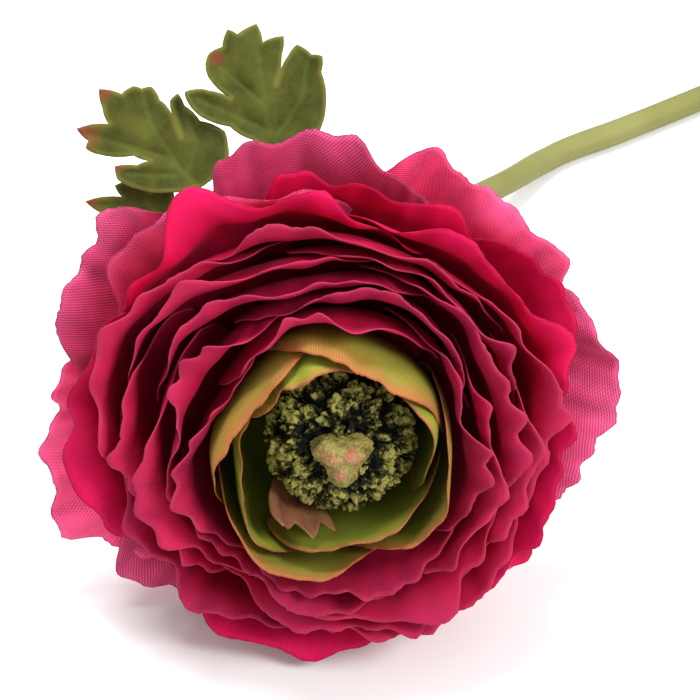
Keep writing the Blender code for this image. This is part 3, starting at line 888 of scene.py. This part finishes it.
def add_leaf(node, outline, veins, base, brown_at):
    """A toothed blade with pressed veins, its lobes lifted between them."""
    source = random.Random(node)
    edge_line = rounded(outline)
    bm = filled_outline(edge_line, LATTICE_MM)
    flat = np.array([vertex.co[:2] for vertex in bm.verts])
    to_edge = distance_to_lines(flat, [edge_line + edge_line[:1]])
    to_vein = distance_to_lines(flat, veins)
    waves = Ripple(source, 0.12, 0.3, 4).at(flat[:, 0], flat[:, 1])
    up = Vector((0, math.cos(LEAF_SLANT), math.sin(LEAF_SLANT)))
    front = Vector((0, -math.sin(LEAF_SLANT), math.cos(LEAF_SLANT)))
    lift = LEAF_CUP * (flat[:, 0] ** 2 + 0.4 * (flat[:, 1] - 8) ** 2)
    lift = lift + 0.75 * (1 - np.exp(-to_vein / 1.3)) + 0.5 * waves
    for vertex, along, height in zip(bm.verts, flat[:, 1], lift):
        from_base = Vector((vertex.co.x, 0, 0)) + up * float(along) + front * float(height)
        vertex.co = PLACE + (Vector(base) + from_base) * MM
    mesh = mesh_of(bm, node + "_cloth")
    store(mesh, "edge_mm", to_edge)
    store(mesh, "vein_mm", to_vein)
    brown = np.zeros(len(flat))
    for place, size in brown_at:
        brown = np.maximum(brown, 1 - np.linalg.norm(flat - np.array(place), axis=1) / size)
    store(mesh, "brown", np.clip(brown, 0, 1))
    thicken(add_piece(node + "_cloth", mesh, "leaf", [node]), LEAF_THICKNESS)


# Toothed outline in millimetres, across and up from the bract's root
BRACT_OUTLINE = (
    (-2.8, 0.0),
    (2.8, 0.0),
    (5.6, 8.0),
    (6.0, 14.6),
    (3.8, 12.4),
    (1.4, 16.2),
    (-0.9, 12.8),
    (-4.6, 15.8),
    (-5.6, 8.0),
)
BRACT_ANGLE = math.radians(-130)
BRACT_LEAN = math.radians(18)
BRACT_ROOT_IN_MM = 4.5
BRACT_CUP_MM = 14.2
BRACT_ROOT_HEIGHT_MM = 27.5
BRACT_UPRIGHT_FROM_MM = 14
BRACT_LATTICE_MM = 0.5


def add_bract():
    """A leaning tongue wrapped round the inside of the cup, its root drawn in under the ball."""
    bm = filled_outline(rounded(BRACT_OUTLINE), BRACT_LATTICE_MM)
    flat = [tuple(vertex.co[:2]) for vertex in bm.verts]
    for vertex, (wide, long) in zip(bm.verts, flat):
        sideways = wide * math.cos(BRACT_LEAN) + long * math.sin(BRACT_LEAN)
        up = long * math.cos(BRACT_LEAN) - wide * math.sin(BRACT_LEAN)
        turn = BRACT_ANGLE + sideways / BRACT_CUP_MM
        inwards = BRACT_ROOT_IN_MM * max(1 - up / BRACT_UPRIGHT_FROM_MM, 0) ** 1.5
        radius = BRACT_CUP_MM - inwards - 0.35 * math.cos(wide * 1.5) * up / 11
        height = BRACT_ROOT_HEIGHT_MM + up
        vertex.co = Vector((radius * math.cos(turn), radius * math.sin(turn), height)) * MM
    mesh = mesh_of(bm, "bract_cloth")
    store_cloth(mesh, flat)
    thicken(add_piece("bract_cloth", mesh, "bract", ["toothed_bract"], HEAD_FRAME), FABRIC)


# ---------------------------------------------------------------- stem

STEM_RADIUS_MM = 2.6
BORE_RADIUS_MM = 1.1
CALYX_BOTTOM_MM = -7.0
# Heights on the head's axis that the stem starts through
STEM_START_MM = (-0.6, CALYX_BOTTOM_MM, 2 * CALYX_BOTTOM_MM)
STEM_SIDES = 36
STEM_STEPS = 220
STALK_SIDES = 14
STEPS_PER_BRANCH_PART = 12
# Routes in millimetres from PLACE
STEM_ROUTE = (
    (8.0, 40.0, 20.6),
    (20.0, 62.0, 13.4),
    (36.0, 83.0, 6.4),
    (46.4, 96.4, 2.6),
    (62.0, 106.0, 2.6),
    (80.0, 117.4, 2.6),
    (103.0, 133.0, 2.6),
    (124.0, 156.0, 2.6),
    (139.0, 183.0, 2.6),
    (148.0, 208.0, 2.6),
)
STALK_ROUTE = (
    (5.0, 32.6, 26.5),
    (-3.0, 36.0, 33.0),
    (-12.0, 36.0, 40.0),
    (-18.0, 33.5, 42.6),
    (-22.7, 31.4, 44.4),
)
RIGHT_BRANCH = ((-3.0, 36.0, 33.0), (-5.5, 36.2, 41.0), (-8.4, 35.6, 49.4))
LOW_BRANCH = ((-12.0, 36.0, 40.0), (-19.0, 34.0, 40.5), (-26.9, 31.4, 38.3))


def curve_points(points, steps):
    """Evenly counted points on a smooth (Catmull-Rom) curve through the given points."""
    ends = [2 * points[0] - points[1], *points, 2 * points[-1] - points[-2]]
    found = []
    for step in range(steps + 1):
        place = (len(points) - 1) * step / steps
        span_number = min(int(place), len(points) - 2)
        t = place - span_number
        a, b, c, d = ends[span_number : span_number + 4]
        bend = (2 * a - 5 * b + 4 * c - d) * t**2
        twist = (3 * b - a - 3 * c + d) * t**3
        found.append(0.5 * ((2 * b) + (c - a) * t + bend + twist))
    return found


def tube_loops(bm, line, radius_at, sides):
    """Rings of vertices square to the line; radius_at gives the radius for a step and an angle."""
    side_way = Vector((1, 0, 0))
    loops = []
    for number, middle in enumerate(line):
        ahead = (line[min(number + 1, len(line) - 1)] - line[max(number - 1, 0)]).normalized()
        side_way = (side_way - ahead * side_way.dot(ahead)).normalized()
        over = ahead.cross(side_way)
        loop = []
        for side in range(sides):
            turn = 2 * math.pi * side / sides
            away = side_way * math.cos(turn) + over * math.sin(turn)
            loop.append(bm.verts.new(middle + radius_at(number, turn) * away))
        loops.append(loop)
    return loops


def join_loops(bm, first, second):
    """Faces between two rings of vertices of equal count."""
    count = len(first)
    for side in range(count):
        after = (side + 1) % count
        bm.faces.new((first[side], first[after], second[after], second[side]))


def stem_radius(number, turn):
    """Nearly round, with faint lengthwise flats and slow swellings from the mould."""
    swell = 1 + 0.012 * math.sin(number * 0.11) + 0.010 * math.sin(number * 0.31 + 1)
    flats = 0.985 + 0.015 * math.cos(5 * turn + number * 0.01)
    return STEM_RADIUS_MM * MM * swell * flats


def add_stem():
    """A hollow moulded stem that lies on the floor, with open ends."""
    route = [HEAD_FRAME @ Vector((0, 0, height * MM)) for height in STEM_START_MM]
    route += [PLACE + Vector(point) * MM for point in STEM_ROUTE]
    line = curve_points(route, STEM_STEPS)
    for point in line:
        point.z = max(point.z, STEM_RADIUS_MM * MM)
    bm = bmesh.new()
    outside = tube_loops(bm, line, stem_radius, STEM_SIDES)
    bore = tube_loops(bm, line, lambda number, turn: BORE_RADIUS_MM * MM, STEM_SIDES)
    for number in range(len(line) - 1):
        join_loops(bm, outside[number], outside[number + 1])
        join_loops(bm, bore[number + 1], bore[number])
    join_loops(bm, bore[0], outside[0])
    join_loops(bm, outside[-1], bore[-1])
    add_piece("moulded_stem", mesh_of(bm, "moulded_stem"), "plastic", ["stem"])


def add_stalk():
    """A thin moulded twig with a branch to each leaf, thickest where it meets the stem."""
    bm = bmesh.new()
    for route, radius in ((STALK_ROUTE, 0.9), (RIGHT_BRANCH, 0.8), (LOW_BRANCH, 0.8)):
        places = [PLACE + Vector(point) * MM for point in route]
        line = curve_points(places, STEPS_PER_BRANCH_PART * (len(route) - 1))
        taper = [radius * MM * (1 - 0.004 * number) for number in range(len(line))]
        loops = tube_loops(bm, line, lambda number, turn, radii=taper: radii[number], STALK_SIDES)
        for first, second in zip(loops, loops[1:]):
            join_loops(bm, first, second)
        bm.faces.new(reversed(loops[0]))
        bm.faces.new(loops[-1])
    add_piece("moulded_stalk", mesh_of(bm, "moulded_stalk"), "plastic", ["leaf_stalk"])


def finish_hidden_parts():
    """The calyx, peg and wire keep their CAD shapes."""
    for node, finish in (("calyx", "plastic"), ("petal_peg", "plastic"), ("stem_wire", "wire")):
        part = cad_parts[node]
        part.data.materials.clear()
        part.data.materials.append(FINISHES[finish])


# ---------------------------------------------------------------- floor, light, camera

CAMERA_ELEVATION = math.radians(42)
CAMERA_DISTANCE = 420 * MM
LENS_MM = 134
CUP_MIDDLE_MM = 40.0
# How far the camera is shifted from the cup's middle, to the right and up in its own picture
CAMERA_RIGHT_MM = 2.7
CAMERA_UP_MM = 16.6
# Each lamp's place from the stamen ball, its size across and its power in watts
LAMPS = (("key", (-0.15, 0.2, 0.85), 0.4, 7.5), ("side", (0.6, -0.35, 0.65), 0.4, 7.5))
WORLD_STRENGTH = 0.75
FLOOR_SIZE = 6


def add_floor():
    bpy.ops.mesh.primitive_plane_add(size=FLOOR_SIZE, location=(0, 0, 0))
    floor = bpy.context.object
    floor.name = "studio_floor"
    nodes = Nodes("studio_floor")
    colour = nodes.ramp(nodes.noise(3, 2), (0.3, (0.86, 0.86, 0.87)), (0.7, (0.88, 0.88, 0.88)))
    nodes.link(colour, nodes.shader.inputs["Base Color"])
    nodes.shader.inputs["Roughness"].default_value = 0.9
    floor.data.materials.append(nodes.material)


def add_light(name, away, size, power):
    """A round lamp that looks at the stamen ball."""
    target = box_middle("stamen_ball")
    data = bpy.data.lights.new(name, "AREA")
    data.shape = "DISK"
    data.size = size
    data.energy = power
    light = bpy.data.objects.new(name, data)
    light.location = target + Vector(away)
    light.rotation_euler = (-Vector(away)).to_track_quat("-Z", "Y").to_euler()
    bpy.context.scene.collection.objects.link(light)


def add_world():
    """Even white light all round, and plain colours in the render."""
    world = bpy.data.worlds.new("studio")
    world.use_nodes = True
    background = world.node_tree.nodes["Background"]
    background.inputs[0].default_value = (1, 1, 1, 1)
    background.inputs[1].default_value = WORLD_STRENGTH
    bpy.context.scene.world = world
    bpy.context.scene.view_settings.view_transform = "Standard"


def add_camera():
    looking = Vector((0, math.cos(CAMERA_ELEVATION), -math.sin(CAMERA_ELEVATION)))
    image_up = Vector((0, math.sin(CAMERA_ELEVATION), math.cos(CAMERA_ELEVATION)))
    cup = HEAD_BASE + HEAD_AXIS * CUP_MIDDLE_MM * MM
    data = bpy.data.cameras.new("camera")
    data.lens = LENS_MM
    data.clip_start = 0.01
    camera = bpy.data.objects.new("camera", data)
    shift = Vector((CAMERA_RIGHT_MM, 0, 0)) + image_up * CAMERA_UP_MM
    camera.location = cup - looking * CAMERA_DISTANCE + shift * MM
    camera.rotation_euler = (math.pi / 2 - CAMERA_ELEVATION, 0, 0)
    bpy.context.scene.collection.objects.link(camera)
    bpy.context.scene.camera = camera


add_camera()
add_petals()
add_ball()
add_pistil()
add_bract()
for leaf in LEAVES:
    add_leaf(*leaf)
add_stem()
add_stalk()
finish_hidden_parts()
add_floor()
for lamp in LAMPS:
    add_light(*lamp)
add_world()
